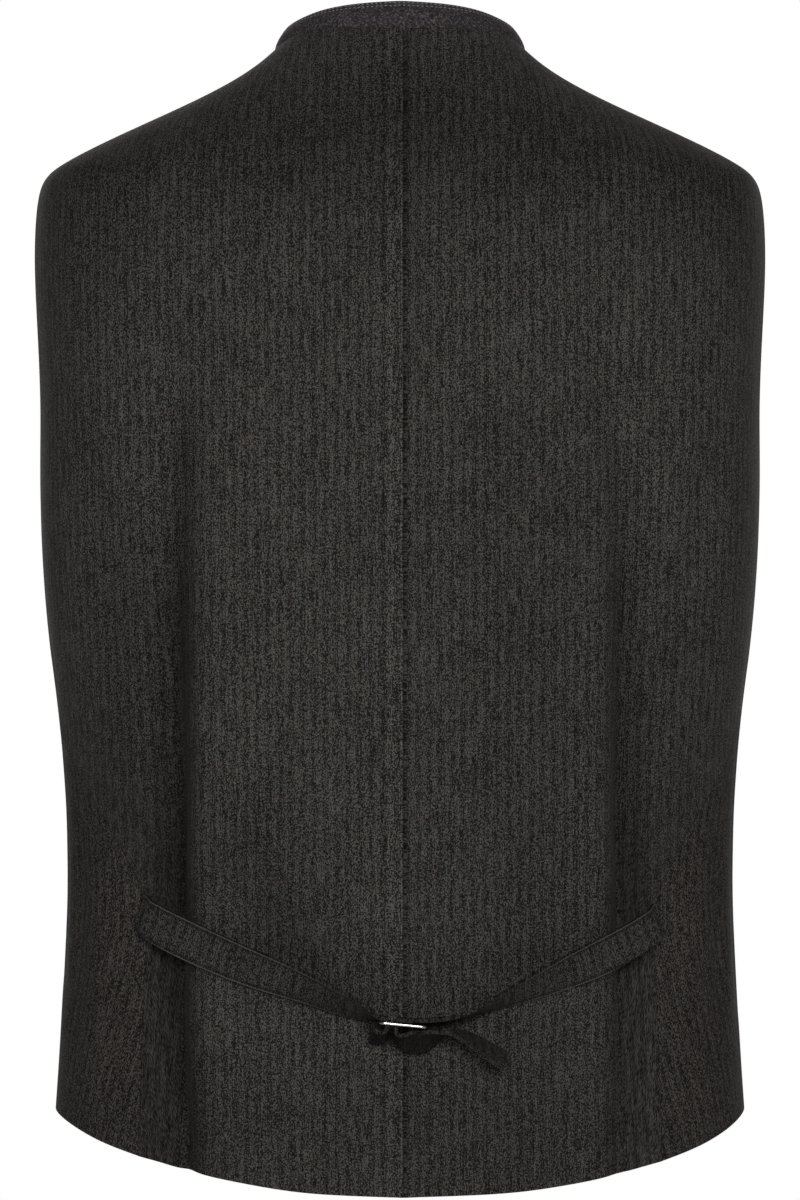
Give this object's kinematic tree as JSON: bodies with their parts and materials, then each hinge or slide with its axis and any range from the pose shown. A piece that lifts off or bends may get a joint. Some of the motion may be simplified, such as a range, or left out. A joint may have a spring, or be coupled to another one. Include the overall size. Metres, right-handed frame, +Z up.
{
  "type": "trachten vest",
  "caption": "Men's folk waistcoat shown worn and hollow: plain loden fronts and back, felt stand collar, slack back belt with a slide buckle, closed front.",
  "frame": {"origin": "midway between the two shoulders, where the shoulder seams meet the collar", "axes": "+Z up the worn vest; the wearer faces -Y, so +Y is the back and +X the wearer's left"},
  "size_m": [0.402, 0.2626, 0.6434],
  "materials": {
    "loden": "heathered wool with a fine lengthwise rib, matt",
    "felt": "grey felt, matt",
    "belt_cloth": "heathered wool, edge-stitched",
    "buckle_metal": "bright nickel plate",
    "button_metal": "dull pewter"
  },
  "bodies": {
    "root": {"back_left": "loden", "back_right": "loden", "front_left": "loden", "front_right": "loden", "collar": "felt", "belt_left": "belt_cloth", "belt_right": "belt_cloth", "buckle": "buckle_metal", "button_1": "button_metal", "button_2": "button_metal", "button_3": "button_metal", "button_4": "button_metal", "button_5": "button_metal", "button_6": "button_metal", "button_7": "button_metal"}
  },
  "joints": []
}
